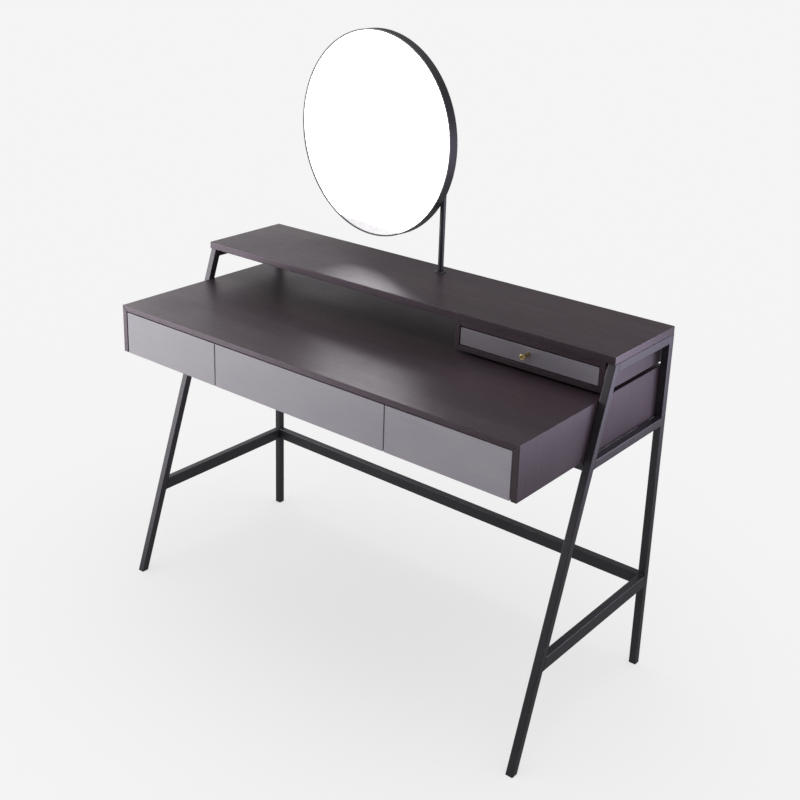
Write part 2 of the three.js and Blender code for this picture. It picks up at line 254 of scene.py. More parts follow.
def soften(bm, width, least_angle=40, segments=2):
    """Bevels every sharp edge, and marks the bevels as edges that can wear."""
    least = math.radians(least_angle)
    sharp = [edge for edge in bm.edges if len(edge.link_faces) == 2 and edge.calc_face_angle() > least]
    made = bmesh.ops.bevel(bm, geom=sharp, offset=width, segments=segments, profile=0.5, affect="EDGES",
                           clamp_overlap=True)
    wear = wear_layer(bm)
    for face in made["faces"]:
        for loop in face.loops:
            loop[wear] = 1.0
    return bm


def mark_worn(bm, is_worn):
    """Sets edge_wear to 1 on the faces that is_worn picks, and to 0 on the others."""
    wear = wear_layer(bm)
    for face in bm.faces:
        amount = 1.0 if is_worn(face) else 0.0
        for loop in face.loops:
            loop[wear] = amount


def off_axis(face):
    """How far the middle of a turned piece's face lies from its axis."""
    middle = face.calc_center_median()
    return math.hypot(middle.x, middle.y)


def over_box(low, high, z):
    """Moves a piece turned about Z onto a box's upright axis, with its origin at height z."""
    return Matrix.Translation(((low.x + high.x) / 2, (low.y + high.y) / 2, z))


def joined(*parts):
    """One bmesh holding all of these."""
    total = bmesh.new()
    grain_layer(total)
    wear_layer(total)
    for part in parts:
        mesh = bpy.data.meshes.new("part")
        grain_layer(part)
        part.to_mesh(mesh)
        part.free()
        total.from_mesh(mesh)
        bpy.data.meshes.remove(mesh)
    return total


def cut(bm, cutter):
    """bm with the closed solid cutter taken out of it."""
    objects = []
    for name, solid in (("body", bm), ("cutter", cutter)):
        mesh = bpy.data.meshes.new(name)
        bmesh.ops.recalc_face_normals(solid, faces=solid.faces)
        solid.to_mesh(mesh)
        solid.free()
        objects.append(bpy.data.objects.new(name, mesh))
        bpy.context.scene.collection.objects.link(objects[-1])
    body, tool = objects
    boolean = body.modifiers.new("cut", "BOOLEAN")
    boolean.object = tool
    boolean.operation = "DIFFERENCE"
    boolean.solver = "EXACT"
    result = bmesh.new()
    depsgraph = bpy.context.evaluated_depsgraph_get()
    result.from_mesh(body.evaluated_get(depsgraph).to_mesh())
    for item in objects:
        bpy.data.objects.remove(item)
    return result


def add_piece(name, bm, slot, body, replaced=(), place=None, sharp=34):
    """Turns a bmesh into a shown piece that rides on a CAD body."""
    if place is not None:
        bmesh.ops.transform(bm, matrix=place, verts=bm.verts)
    bmesh.ops.recalc_face_normals(bm, faces=bm.faces)
    mesh = bpy.data.meshes.new(name)
    bm.to_mesh(mesh)
    bm.free()
    mesh.shade_smooth()
    mesh.set_sharp_from_angle(angle=math.radians(sharp))
    mesh.materials.append(MATERIALS[slot])
    piece = bpy.data.objects.new(name, mesh)
    bpy.context.scene.collection.objects.link(piece)
    weighted = piece.modifiers.new("weighted_normals", "WEIGHTED_NORMAL")
    weighted.keep_sharp = True
    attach(piece, body)
    if replaced:
        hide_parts(*replaced)
    return piece


def stand_in(node, bm, **options):
    """A finer piece in the place of one CAD node."""
    return add_piece("fine_" + node, bm, SLOT_OF[node], BODY_OF[node], (node,), **options)


# ---- Materials ----

class Shader:
    """Builds one Principled material. Each method adds a node and gives its output socket."""

    def __init__(self, name, **fixed):
        self.material = bpy.data.materials.new(name)
        self.material.use_nodes = True
        self.tree = self.material.node_tree
        self.surface = next(n for n in self.tree.nodes if n.type == "BSDF_PRINCIPLED")
        for socket, value in fixed.items():
            self.surface.inputs[socket.replace("_", " ")].default_value = value

    def add(self, kind, inputs, output=0, **settings):
        made = self.tree.nodes.new(kind)
        for key, value in settings.items():
            setattr(made, key, value)
        for key, value in inputs.items():
            if isinstance(value, bpy.types.NodeSocket):
                self.tree.links.new(value, made.inputs[key])
            else:
                made.inputs[key].default_value = value
        return made.outputs[output]

    def grain(self):
        return self.add("ShaderNodeUVMap", {}, uv_map="Grain")

    def place(self):
        return self.add("ShaderNodeTexCoord", {}, output="Object")

    def wear(self):
        return self.add("ShaderNodeAttribute", {}, output="Fac", attribute_name="edge_wear")

    def noise(self, place, stretch, detail=3, roughness=0.5, distortion=0.0):
        """Noise with this many features per metre along each axis."""
        scaled = self.add("ShaderNodeMapping", {"Vector": place, "Scale": stretch})
        inputs = {"Vector": scaled, "Scale": 1.0, "Detail": detail, "Roughness": roughness,
                  "Distortion": distortion}
        return self.add("ShaderNodeTexNoise", inputs)

    def math(self, operation, a, b=0.5, c=0.5):
        return self.add("ShaderNodeMath", {0: a, 1: b, 2: c}, operation=operation)

    def fit(self, value, low, high, new_low=0.0, new_high=1.0, smooth=False):
        inputs = {"Value": value, "From Min": low, "From Max": high, "To Min": new_low, "To Max": new_high}
        blend = "SMOOTHSTEP" if smooth else "LINEAR"
        return self.add("ShaderNodeMapRange", inputs, interpolation_type=blend)

    def mix(self, share, a, b):
        colour = [value if isinstance(value, bpy.types.NodeSocket) else (*value, 1) for value in (a, b)]
        return self.add("ShaderNodeMix", {0: share, 6: colour[0], 7: colour[1]}, output=2, data_type="RGBA")

    def ramp(self, value, *stops):
        made = self.tree.nodes.new("ShaderNodeValToRGB")
        self.tree.links.new(value, made.inputs["Fac"])
        stretch = made.color_ramp.elements
        while len(stretch) < len(stops):
            stretch.new(0.5)
        for element, (position, colour) in zip(stretch, stops):
            element.position = position
            element.color = (*colour, 1)
        return made.outputs["Color"]

    def set(self, **links):
        for socket, value in links.items():
            self.tree.links.new(value, self.surface.inputs[socket.replace("_", " ")])

    def bump(self, *heights):
        """heights are (socket, depth in metres) pairs, added one on another."""
        normal = None
        for height, depth in heights:
            inputs = {"Height": height, "Distance": depth, "Strength": 1.0}
            if normal is not None:
                inputs["Normal"] = normal
            normal = self.add("ShaderNodeBump", inputs)
        self.set(Normal=normal)


def dark_veneer():
    """Open-grained veneer under a dark purple-brown stain and satin lacquer."""
    s = Shader("dark_veneer")
    s.surface.inputs["Specular Tint"].default_value = (1.0, 0.80, 1.0, 1)
    grain, place = s.grain(), s.place()
    figure = s.noise(grain, (0.9, 11, 1), detail=3, distortion=0.7)
    streaks = s.noise(grain, (3.5, 95, 1), detail=4, roughness=0.62, distortion=0.2)
    fibres = s.noise(grain, (16, 620, 1), detail=3, roughness=0.6)
    pores = s.fit(s.noise(grain, (42, 1350, 1), detail=1), 0.60, 0.72, smooth=True)
    tone = s.math("ADD", s.math("MULTIPLY", figure, 0.42), s.math("MULTIPLY", streaks, 0.40))
    tone = s.math("ADD", tone, s.math("MULTIPLY", fibres, 0.18))
    stain = s.ramp(tone, (0.30, (0.0200, 0.0120, 0.0145)), (0.48, (0.0350, 0.0225, 0.0270)),
                   (0.66, (0.0580, 0.0395, 0.0465)))
    stain = s.mix(s.math("MULTIPLY", pores, 0.55), stain, (0.0100, 0.0065, 0.0075))
    rubbed = s.fit(s.noise(place, (28, 28, 28), detail=4), 0.50, 0.72, smooth=True)
    worn = s.math("MULTIPLY", s.math("MULTIPLY", s.wear(), rubbed), 0.45)
    s.set(Base_Color=s.mix(worn, stain, (0.105, 0.078, 0.078)))
    cloudy = s.noise(place, (6, 6, 6), detail=3)
    gloss = s.math("ADD", s.fit(cloudy, 0.3, 0.7, 0.30, 0.36), s.math("MULTIPLY", fibres, 0.07))
    s.set(Roughness=s.math("ADD", gloss, s.math("MULTIPLY", pores, 0.16)))
    s.bump((streaks, 0.00006), (fibres, 0.00006), (s.math("SUBTRACT", 1.0, pores), 0.00005))
    return s.material


def grey_lacquer():
    """Satin lacquer, mushroom grey with a purple cast, over a faint brushed texture."""
    s = Shader("grey_lacquer")
    grain, place = s.grain(), s.place()
    cast = s.noise(place, (4, 4, 9), detail=3, roughness=0.55)
    brushed = s.noise(grain, (6, 260, 1), detail=3, roughness=0.6)
    tone = s.math("ADD", s.math("MULTIPLY", cast, 0.7), s.math("MULTIPLY", brushed, 0.3))
    colour = s.ramp(tone, (0.34, (0.272, 0.246, 0.294)), (0.50, (0.300, 0.274, 0.318)),
                    (0.66, (0.330, 0.306, 0.346)))
    rubbed = s.fit(s.noise(place, (40, 40, 40), detail=3), 0.48, 0.70, smooth=True)
    worn = s.math("MULTIPLY", s.math("MULTIPLY", s.wear(), rubbed), 0.30)
    s.set(Base_Color=s.mix(worn, colour, (0.42, 0.40, 0.43)))
    peel = s.noise(place, (420, 420, 420), detail=2)
    s.set(Roughness=s.math("ADD", s.fit(cast, 0.3, 0.7, 0.33, 0.40), s.math("MULTIPLY", brushed, 0.06)))
    s.bump((peel, 0.000018), (brushed, 0.000012))
    return s.material


def drawer_board():
    """Warm grey foil with a fine linen weave, as used inside drawers."""
    s = Shader("drawer_board")
    grain, place = s.grain(), s.place()
    warp = s.noise(grain, (70, 900, 1), detail=2)
    weft = s.noise(grain, (900, 70, 1), detail=2)
    weave = s.math("MULTIPLY", s.math("ADD", warp, weft), 0.5)
    colour = s.ramp(weave, (0.36, (0.125, 0.117, 0.112)), (0.50, (0.165, 0.155, 0.148)),
                    (0.64, (0.215, 0.203, 0.194)))
    rubbed = s.fit(s.noise(place, (50, 50, 50), detail=3), 0.5, 0.7, smooth=True)
    worn = s.math("MULTIPLY", s.math("MULTIPLY", s.wear(), rubbed), 0.35)
    s.set(Base_Color=s.mix(worn, colour, (0.27, 0.25, 0.235)))
    s.set(Roughness=s.fit(s.noise(place, (9, 9, 9)), 0.3, 0.7, 0.50, 0.62))
    s.bump((weave, 0.00004))
    return s.material


def powder_coat(name, base, lightest):
    """Satin black powder coat: a fine orange peel, and a thinner coat along the edges."""
    s = Shader(name)
    s.surface.inputs["Specular Tint"].default_value = (1.0, 0.93, 1.05, 1)
    place = s.place()
    patches = s.noise(place, (7, 7, 7), detail=4, roughness=0.6)
    peel = s.noise(place, (640, 640, 640), detail=2)
    colour = s.mix(s.fit(patches, 0.3, 0.7), base, lightest)
    rubbed = s.fit(s.noise(place, (55, 55, 55), detail=4), 0.50, 0.68, smooth=True)
    worn = s.math("MULTIPLY", s.math("MULTIPLY", s.wear(), rubbed), 0.5)
    s.set(Base_Color=s.mix(worn, colour, (0.052, 0.050, 0.054)))
    s.set(Roughness=s.math("ADD", s.fit(patches, 0.3, 0.7, 0.36, 0.44), s.math("MULTIPLY", peel, 0.08)))
    s.bump((peel, 0.00003))
    return s.material


def silvered_glass():
    """Mirror glass, with the green of the glass only along its ground edge."""
    s = Shader("mirror_glass", Metallic=1.0)
    place = s.place()
    haze = s.noise(place, (11, 11, 11), detail=4, roughness=0.6)
    clear = s.ramp(haze, (0.35, (0.925, 0.940, 0.942)), (0.65, (0.945, 0.955, 0.955)))
    s.set(Base_Color=s.mix(s.wear(), clear, (0.42, 0.52, 0.50)))
    s.set(Roughness=s.math("ADD", s.fit(haze, 0.35, 0.75, 0.004, 0.022), s.math("MULTIPLY", s.wear(), 0.15)))
    return s.material


def core_board():
    """Black-faced fibreboard behind the glass."""
    s = Shader("mirror_core_board")
    place = s.place()
    specks = s.noise(place, (300, 300, 300), detail=3, roughness=0.7)
    clouds = s.noise(place, (14, 14, 14), detail=4)
    s.set(Base_Color=s.mix(s.fit(specks, 0.35, 0.7), (0.014, 0.0135, 0.014), (0.034, 0.033, 0.033)))
    s.set(Roughness=s.fit(clouds, 0.3, 0.7, 0.68, 0.74))
    s.bump((specks, 0.00005))
    return s.material


def brass():
    """Lathe-turned brass with fine tool marks round its axis."""
    s = Shader("brass", Metallic=1.0)
    grain, place = s.grain(), s.place()
    marks = s.noise(grain, (8, 3800, 1), detail=2)
    tarnish = s.noise(place, (160, 160, 160), detail=3)
    colour = s.mix(s.fit(tarnish, 0.35, 0.7), (0.72, 0.56, 0.26), (0.58, 0.44, 0.19))
    rubbed = s.math("MULTIPLY", s.wear(), 0.5)
    s.set(Base_Color=s.mix(rubbed, colour, (0.90, 0.72, 0.38)))
    s.set(Roughness=s.math("ADD", s.fit(tarnish, 0.3, 0.7, 0.17, 0.26), s.math("MULTIPLY", marks, 0.08)))
    s.bump((marks, 0.000012))
    return s.material


def bright_steel():
    """Zinc-plated steel, with drawn streaks and a faint yellow and blue cast."""
    s = Shader("bright_steel", Metallic=1.0)
    place = s.place()
    drawn = s.noise(place, (1600, 7, 1600), detail=2)
    cast = s.noise(place, (22, 9, 22), detail=3)
    s.set(Base_Color=s.ramp(cast, (0.35, (0.50, 0.515, 0.545)), (0.5, (0.575, 0.58, 0.59)),
                            (0.65, (0.61, 0.595, 0.555))))
    s.set(Roughness=s.math("ADD", s.fit(cast, 0.3, 0.7, 0.24, 0.32), s.math("MULTIPLY", drawn, 0.12)))
    s.bump((drawn, 0.00001))
    return s.material


def black_plastic():
    """Moulded black plastic with a fine spark texture."""
    s = Shader("black_plastic")
    place = s.place()
    spark = s.noise(place, (1500, 1500, 1500), detail=2)
    dust = s.fit(s.noise(place, (120, 120, 120), detail=4), 0.5, 0.75, smooth=True)
    s.set(Base_Color=s.mix(s.math("MULTIPLY", dust, 0.4), (0.017, 0.017, 0.018), (0.06, 0.058, 0.055)))
    s.set(Roughness=s.fit(spark, 0.3, 0.7, 0.52, 0.68))
    s.bump((spark, 0.00003))
    return s.material


MATERIALS = {
    "dark_veneer": dark_veneer(),
    "grey_lacquer": grey_lacquer(),
    "drawer_board": drawer_board(),
    "frame_steel": powder_coat("frame_steel", (0.0125, 0.0120, 0.0140), (0.0190, 0.0185, 0.0210)),
    "mirror_steel": powder_coat("mirror_steel", (0.0160, 0.0155, 0.0175), (0.0240, 0.0235, 0.0260)),
    "mirror_glass": silvered_glass(),
    "mirror_core_board": core_board(),
    "brass": brass(),
    "bright_steel": bright_steel(),
    "black_plastic": black_plastic(),
}


# ---- Boards, drawers and boxes ----

def grain_axis(node, low, high):
    """Upright grain on the case's upright boards; on any other, along its longer level side."""
    if node.startswith("case_") and node.endswith(("_side", "_divider")):
        return 2
    return max((0, 1), key=lambda axis: (high - low)[axis])


def board(node, edge):
    low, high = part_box(node)
    plain = slab(low, high) if node == "shelf" else cad_solid(node)
    bm = rounded_board(plain, min(high - low), edge)
    if node == "shelf":
        bm = cut(bm, stud_hole(low, high))
    map_grain(bm, grain_axis(node, low, high), node)
    return stand_in(node, bm)


def stud_hole(low, high):
    """A cutter for the hole that the mirror post's stud passes through."""
    over = 0.002
    profile = [(0, low.z - over), (STUD_HOLE, low.z - over), (STUD_HOLE, high.z + over), (0, high.z + over)]
    bm = lathe(profile, 48)
    bmesh.ops.transform(bm, matrix=over_box(*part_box("mirror_post"), 0), verts=bm.verts)
    return bm


def boards():
    for node, slot in SLOT_OF.items():
        if slot == "dark_veneer":
            board(node, TOP_EDGE if node in ("desk_top", "shelf") else BOARD_EDGE)
        elif slot == "grey_lacquer":
            board(node, FRONT_EDGE)
        elif slot == "drawer_board" and node != "small_drawer_tray":
            board(node, DRAWER_EDGE)


def tray():
    bm = soften(cad_solid("small_drawer_tray"), DRAWER_EDGE)
    map_grain(bm, 0, "small_drawer_tray")
    stand_in("small_drawer_tray", bm)


# ---- Drawer slides ----

RUNNER_GAUGE = 0.0015
MEMBER_GAUGE = 0.0012
MEMBER_HALF_HEIGHT = 0.0125
MEMBER_WALL_GAP = 0.0035        # from the wall to the sliding member's flanges
SCREW_RADIUS = 0.0036
SCREW_HEIGHT = 0.0017
SCREW_SHARES = (0.08, 0.5, 0.92)


def channel(wall_x, open_x, half_height, gauge, middle_z, low_y, high_y):
    """A pressed C channel: its web is at wall_x, and its flanges reach to open_x."""
    sign = math.copysign(1, open_x - wall_x)
    inner = wall_x + sign * gauge
    lip = half_height - gauge
    corners = [(wall_x, -half_height), (open_x, -half_height), (open_x, -lip), (inner, -lip),
               (inner, lip), (open_x, lip), (open_x, half_height), (wall_x, half_height)]
    outline = [(x, middle_z + z) for x, z in rounded(corners, gauge * 0.9, steps=3)]
    return extruded(outline, low_y, high_y)


def screw_head(x, y, z, sign):
    """A pan head whose top faces along X."""
    dome = [(SCREW_RADIUS * math.cos(a), SCREW_HEIGHT * math.sin(a)) for a in
            (math.radians(step * 15) for step in range(6))]
    bm = lathe([(0, 0)] + dome + [(0, SCREW_HEIGHT)], 24)
    turn = Matrix.Rotation(math.radians(90 * sign), 4, "Y")
    bmesh.ops.transform(bm, matrix=Matrix.Translation((x, y, z)) @ turn, verts=bm.verts)
    return bm


def with_screws(solid, x, sign, z, low_y, high_y):
    places = [low_y + share * (high_y - low_y) for share in SCREW_SHARES]
    return joined(solid, *(screw_head(x, y, z, sign) for y in places))


def slides():
    for drawer in WIDE_DRAWERS:
        for side, sign in SIDES:
            node = f"{drawer}_{side}_runner"
            low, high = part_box(node)
            middle_z = (low.z + high.z) / 2
            wall_x, open_x = (low.x, high.x) if sign > 0 else (high.x, low.x)
            fixed = channel(wall_x, open_x, (high.z - low.z) / 2, RUNNER_GAUGE, middle_z, low.y, high.y)
            fixed = with_screws(fixed, wall_x + sign * RUNNER_GAUGE, sign, middle_z, low.y, high.y)
            stand_in(node, fixed)
            side_low, side_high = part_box(f"{drawer}_{side}_side")
            face_x = side_low.x if sign > 0 else side_high.x
            flange_x = wall_x + sign * MEMBER_WALL_GAP
            moving = channel(face_x, flange_x, MEMBER_HALF_HEIGHT, MEMBER_GAUGE, middle_z, low.y, high.y)
            moving = with_screws(moving, face_x - sign * MEMBER_GAUGE, -sign, middle_z, low.y, high.y)
            add_piece(f"{drawer}_{side}_slide_member", moving, "bright_steel", drawer)


# ---- Steel frame ----

WELD_RADIUS = 0.0016
WELD_RIPPLE = 0.0011            # from one ripple to the next
WELD_RIPPLE_SHARE = 0.10        # a ripple's height as a share of the bead's radius
WELD_END_SHARE = 0.25           # the bead's radius at its ends, against its middle
WELD_STEPS = 28
FILLER_INSET = 0.00012          # from a rail's faces to the filler's
END_REACH = 0.0025              # a point this near a rail's underside or top belongs to it
NARROW_FACET = 0.0012           # a tube's face with a shorter edge than this is part of a corner


def tubes():
    for node, slot in SLOT_OF.items():
        if slot == "frame_steel":
            bm = cad_solid(node)
            mark_worn(bm, lambda face: min(e.calc_length() for e in face.edges) < NARROW_FACET)
            stand_in(node, bm)
        elif slot == "black_plastic":
            stand_in(node, soften(cad_solid(node), SMALL_EDGE))


def end_places(node, axis, end):
    """Where a rail's end lies along its own axis at its underside and at its top."""
    low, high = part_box(node)
    pick = min if end < 0 else max
    points = [v.co for v in frame["nodes"][node].data.vertices]
    middle = (low[axis] + high[axis]) / 2
    half = [p for p in points if (p[axis] - middle) * end > 0]
    under = pick(p[axis] for p in half if p.z < low.z + END_REACH)
    over = pick(p[axis] for p in half if p.z > high.z - END_REACH)
    return under, over


def bead(start, end):
    """A short weld bead with ripples and rounded ends."""
    length = (end - start).length

    def radius(share):
        taper = math.sqrt(max(0.0, 1 - (2 * share - 1) ** 6))
        body = WELD_END_SHARE + (1 - WELD_END_SHARE) * taper
        wave = math.sin(2 * math.pi * share * length / WELD_RIPPLE)
        return WELD_RADIUS * body * (1 + WELD_RIPPLE_SHARE * wave)

    return swept([start.lerp(end, i / (WELD_STEPS - 1)) for i in range(WELD_STEPS)], radius)


def welds():
    """A bead under each rail where it meets its neighbour, and over it too unless it is a top rail, and a
    filler in the joint.
    """
    side_rails = ("top_rail", "mid_rail", "lower_stretcher")
    rails = [(f"{side}_{rail}", 1) for side, _ in SIDES for rail in side_rails]
    rails += [("front_cross_rail", 0), ("rear_cross_rail", 0), ("rear_lower_stretcher", 0)]
    parts = []
    for node, axis in rails:
        low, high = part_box(node)
        across = 1 - axis
        for end in (-1, 1):
            under, over = end_places(node, axis, end)
            corners = []
            for z, reach in ((low.z + FILLER_INSET, under), (high.z - FILLER_INSET, over)):
                for side in (low[across] + FILLER_INSET, high[across] - FILLER_INSET):
                    for step in (0, end * FIT_GAP):
                        point = Vector((0, 0, z))
                        point[axis] = reach + step
                        point[across] = side
                        corners.append(point)
            parts.append(filler(corners))
            for z, reach in ((low.z, under), (high.z, over)):
                if node.endswith("top_rail") and z == high.z:
                    continue
                ends = []
                for side in (low[across] + 2 * WELD_RADIUS, high[across] - 2 * WELD_RADIUS):
                    point = Vector((0, 0, z))
                    point[axis] = reach + end * FIT_GAP / 2
                    point[across] = side
                    ends.append(point)
                parts.append(bead(*ends))
    add_piece("weld_beads", joined(*parts), "frame_steel", "table", sharp=60)


def filler(corners):
    """The closed block between eight corners, ordered by height, then side, then step."""
    bm = bmesh.new()
    wear_layer(bm)
    verts = [bm.verts.new(point) for point in corners]
    for face in ((0, 1, 3, 2), (4, 6, 7, 5), (0, 4, 5, 1), (2, 3, 7, 6), (0, 2, 6, 4), (1, 5, 7, 3)):
        bm.faces.new([verts[i] for i in face])
    return bm


# ---- Knob ----

KNOB_NECK = 0.0048              # radius
KNOB_NECK_SHARE = 0.36          # of the knob's length
KNOB_DISC_SHARE = 0.16          # of the knob's length
KNOB_DISC_ROUNDING = 0.0009
KNOB_FOOT_ROUNDING = 0.0003
KNOB_DISH_DEPTHS = (0.0005, 0.0006)     # at the foot of the dish's slope, and in its middle
KNOB_DISH_EDGE = (0.80, 0.74)   # the dish's slope runs between these shares of the radius
KNOB_WORN_SHARE = 0.93          # of the radius, from where the disc's edge is worn


def knob():
    """A neck that flares into a disc, turned about the Y axis, with a shallow dish in its face."""
    low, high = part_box("small_drawer_knob")
    length = high.y - low.y
    radius = (high.z - low.z) / 2
    neck_end = length * KNOB_NECK_SHARE
    disc_start = length * (1 - KNOB_DISC_SHARE)
    steps = 18
    flare = []
    for i in range(steps + 1):
        share = i / steps
        flare.append((KNOB_NECK + (radius - KNOB_NECK) * share ** 2,
                      neck_end + (disc_start - neck_end) * share))
    edge = [(radius, disc_start), (radius, length), (0, length)]
    corner = rounded(edge, KNOB_DISC_ROUNDING, 5, closed=False)[1:-1]
    slope_start, slope_end = (radius * share for share in KNOB_DISH_EDGE)
    foot_depth, middle_depth = KNOB_DISH_DEPTHS
    dish = [(slope_start, length), (slope_end, length - foot_depth), (0, length - middle_depth)]
    foot = [(0, 0), (KNOB_NECK - KNOB_FOOT_ROUNDING, 0), (KNOB_NECK, KNOB_FOOT_ROUNDING)]
    profile = foot + flare + [tuple(point) for point in corner] + dish
    bm = lathe(profile, 96)

    def at_rim(face):
        return off_axis(face) > radius * KNOB_WORN_SHARE and face.calc_center_median().z > disc_start

    mark_worn(bm, at_rim)
    place = Matrix.Translation(((low.x + high.x) / 2, high.y, (low.z + high.z) / 2))
    facing = place @ Matrix.Rotation(math.radians(90), 4, "X")
    stand_in("small_drawer_knob", bm, place=facing, sharp=28)


# ---- Mirror on its post ----

STUD_HOLE = 0.0046
STUD_RADIUS = 0.004
THREAD_PITCH = 0.00125
THREAD_DEPTH = 0.00065
RIM_WALL = 0.0027
RIM_LIP = 0.008
RIM_LIP_THICKNESS = 0.0015
RIM_FRONT_LIP = 0.0012          # how far the rim's front edge reaches in over the glass
RIM_FRONT_GAP = 0.0002          # between that edge and the glass
RIM_ROUNDING = 0.0004
GLASS_ROUNDING = 0.0009
CORE_ROUNDING = 0.0004
POST_ROUNDING = 0.0012
ROUND_STEPS = 256
MIRROR_BEAD_SPREAD = 0.0032     # from the post's axis to the bead on either side of it
MIRROR_BEAD_RISE = 0.0005
MIRROR_BEAD_SHARES = (0.08, 0.92)       # where along the lip's width a bead starts and ends
# Where one turn of the thread has its root, crest, crest and root, as shares of the pitch
THREAD_SHARES = (0.1, 0.45, 0.6, 0.95)
FLANGE_EDGE = 0.0004
FLANGE_SHOULDER = 0.0009
FLANGE_FLAT = 0.0078            # radius of the flat round the stud


def mirror_frame():
    """A matrix at the mirror's centre: X along its face, Y to its back and Z up."""
    rim_low, rim_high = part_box("mirror_rim")
    flat_face = max(frame["nodes"]["mirror_glass"].data.polygons, key=lambda face: face.area)
    y_axis = flat_face.normal * math.copysign(1, flat_face.normal.y)
    z_axis = Vector((0, 0, 1))
    turn = Matrix((y_axis.cross(z_axis), y_axis, z_axis)).transposed().to_4x4()
    return Matrix.Translation((rim_low + rim_high) / 2) @ turn


def local_range(node, place, axis):
    """The lowest and highest coordinate of a CAD node along one axis of a frame."""
    inverse = place.inverted()
    values = [(inverse @ v.co)[axis] for v in frame["nodes"][node].data.vertices]
    return min(values), max(values)


def mirror_head(place):
    facing = place @ Matrix.Rotation(math.radians(-90), 4, "X")
    front, back = local_range("mirror_rim", place, 1)
    radius = local_range("mirror_rim", place, 2)[1]
    bore = radius - RIM_WALL
    lip_back = local_range("mirror_glass", place, 1)[0] - RIM_FRONT_GAP
    corners = [(bore - RIM_FRONT_LIP, front), (radius, front), (radius, back), (bore - RIM_LIP, back),
               (bore - RIM_LIP, back - RIM_LIP_THICKNESS), (bore, back - RIM_LIP_THICKNESS),
               (bore, lip_back), (bore - RIM_FRONT_LIP, lip_back)]
    outline = [tuple(point) for point in rounded(corners, RIM_ROUNDING, 3)]
    stand_in("mirror_rim", lathe(outline, ROUND_STEPS, closed=True), place=facing, sharp=30)
    for node, rounding in (("mirror_glass", GLASS_ROUNDING), ("mirror_core", CORE_ROUNDING)):
        near, far = local_range(node, place, 1)
        disc = local_range(node, place, 2)[1]
        corners = [(0, near), (disc, near), (disc, far), (0, far)]
        outline = [tuple(point) for point in rounded(corners, rounding, 3, closed=False)]
        bm = lathe(outline, ROUND_STEPS)
        mark_worn(bm, lambda face: off_axis(face) > disc - rounding)
        stand_in(node, bm, place=facing, sharp=30)


def post():
    """Round post over a threaded stud, with a softly rounded top."""
    low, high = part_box("mirror_post")
    radius = (high.x - low.x) / 2
    foot_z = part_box("mirror_flange")[1].z + FIT_GAP
    root = STUD_RADIUS - THREAD_DEPTH
    stud = [(0, low.z), (root, low.z)]
    for i in range(int((foot_z - low.z) / THREAD_PITCH)):
        start = low.z + i * THREAD_PITCH
        for reach, share in zip((root, STUD_RADIUS, STUD_RADIUS, root), THREAD_SHARES):
            stud.append((reach, start + share * THREAD_PITCH))
    corners = [(root, foot_z), (radius, foot_z), (radius, high.z), (0, high.z)]
    tube = rounded(corners, POST_ROUNDING, 4, closed=False)
    bm = lathe(stud + [tuple(point) for point in tube], 64)
    stand_in("mirror_post", bm, place=over_box(low, high, 0), sharp=30)


def mirror_weld(place):
    """Two beads up the rim's back lip, one on each side of the post."""
    low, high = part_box("mirror_post")
    axis = place.inverted() @ ((low + high) / 2)
    outer = local_range("mirror_rim", place, 2)[1]
    inner = outer - RIM_WALL - RIM_LIP
    back = local_range("mirror_rim", place, 1)[1]
    beads = []
    for x in (axis.x - MIRROR_BEAD_SPREAD, axis.x + MIRROR_BEAD_SPREAD):
        y = back + MIRROR_BEAD_RISE
        start, end = (Vector((x, y, -math.sqrt(edge ** 2 - x ** 2))) for edge in (outer, inner))
        beads.append(bead(*(start.lerp(end, share) for share in MIRROR_BEAD_SHARES)))
    add_piece("mirror_weld", joined(*beads), "mirror_steel", "mirror", place=place, sharp=60)


def flange():
    """A shallow domed rose round the stud."""
    low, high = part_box("mirror_flange")
    radius = (high.x - low.x) / 2
    height = high.z - low.z
    inset = radius - FLANGE_EDGE
    steps = 10
    dome = []
    for i in range(steps + 1):
        share = i / steps
        rise = (height - FLANGE_SHOULDER) * math.sin(math.pi / 2 * share)
        dome.append((inset - (inset - FLANGE_FLAT) * share, FLANGE_SHOULDER + rise))
    profile = [(STUD_HOLE, 0), (inset, 0), (radius, FLANGE_EDGE), *dome, (STUD_HOLE, height)]
    bm = lathe(profile, 96, closed=True)
    stand_in("mirror_flange", bm, place=over_box(low, high, low.z), sharp=40)


def nut():
    stand_in("mirror_nut", soften(cad_solid("mirror_nut"), NUT_EDGE, least_angle=50))


# ---- Stage, light and camera ----

FLOOR_HALF = 60
FLOOR_SHADE = 0.42
FLOOR_GLOW = 0.620
BACKDROP_HEIGHT = 40
BACKDROP_GLOW = 0.895
STAGE_ROUGHNESS = 0.85
SKY_LOW = 0.31                  # around the horizon, and up to the bright zenith
SKY_HIGH = 1.26
SKY_RISE = (0.70, 0.85)         # from the low to the high level, by the sine of the height angle
KEY_ENDS = ((-1.42, -2.05), (-2.90, -0.70))
# Low z, high z and radiance of each part of the key panel
KEY_STACK = ((0.02, 0.40, 0.9), (0.40, 0.70, 3.4), (0.70, 1.45, 7.9), (1.45, 2.35, 5.0))
# Each other panel's two ends on the floor, low z, high z and radiance
LEFT_PANEL = (((-3.20, -0.50), (-3.20, 2.00)), 0.30, 2.80, 1.4)
LEFT_TAIL = (((-3.20, 2.00), (-3.20, 3.60)), 0.30, 2.15, 0.85)
RIGHT_PANEL = (((1.10, 0.95), (1.10, 0.00)), 0.42, 1.30, 4.9)
RIGHT_TINT = (0.97, 0.91, 1.14)
# Each bounce card's name, middle, width and depth, and radiance
CARDS = (
    ("far_card", (-2.00, -1.55), (1.3, 1.5), 3.4),
    ("near_card", (-1.05, -1.35), (0.8, 1.3), 1.8),
    ("outer_card", (-3.10, -2.20), (0.9, 1.2), 7.0),
)
CARD_RISE = 0.004


